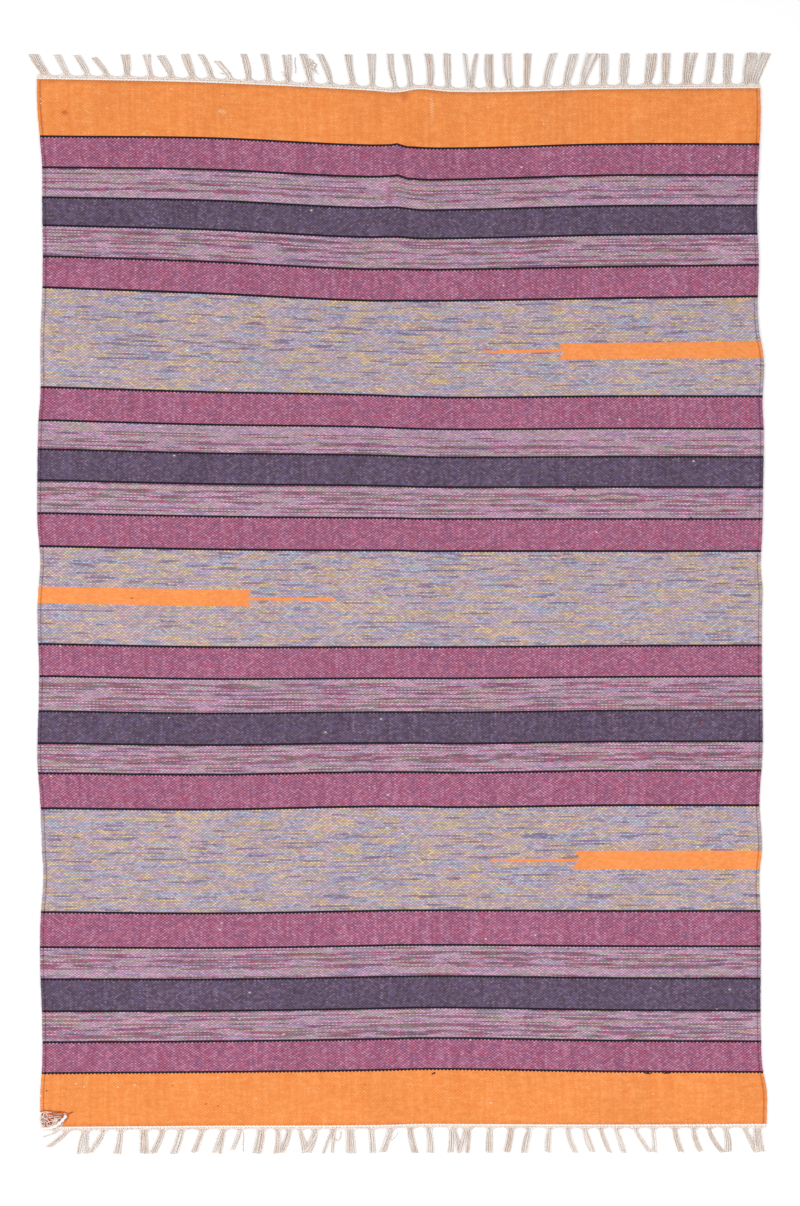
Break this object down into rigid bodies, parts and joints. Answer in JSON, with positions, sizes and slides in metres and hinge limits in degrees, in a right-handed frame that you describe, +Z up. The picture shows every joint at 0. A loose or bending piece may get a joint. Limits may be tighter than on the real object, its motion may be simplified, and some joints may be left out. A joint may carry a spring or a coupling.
{
  "type": "kilim rug",
  "caption": "Flat-woven rectangular rug in cross stripes, with corded selvedges, a narrow heading and a bundled warp fringe at both ends, one corner frayed.",
  "frame": {"origin": "the middle of the rug's outline, on the surface it lies on", "axes": "+X across the width, +Y along the length to the far fringe, +Z up out of the face"},
  "size_m": [1.2336, 1.831, 0.005],
  "materials": {
    "weft_stripes": "matt weft-faced plain weave in orange, plum, pink, aubergine and mixed grey yarn",
    "warp_cotton": "matt undyed plied cotton"
  },
  "bodies": {
    "root": {"woven_cloth": "weft_stripes", "fringe_far": "warp_cotton", "fringe_near": "warp_cotton"}
  },
  "joints": []
}
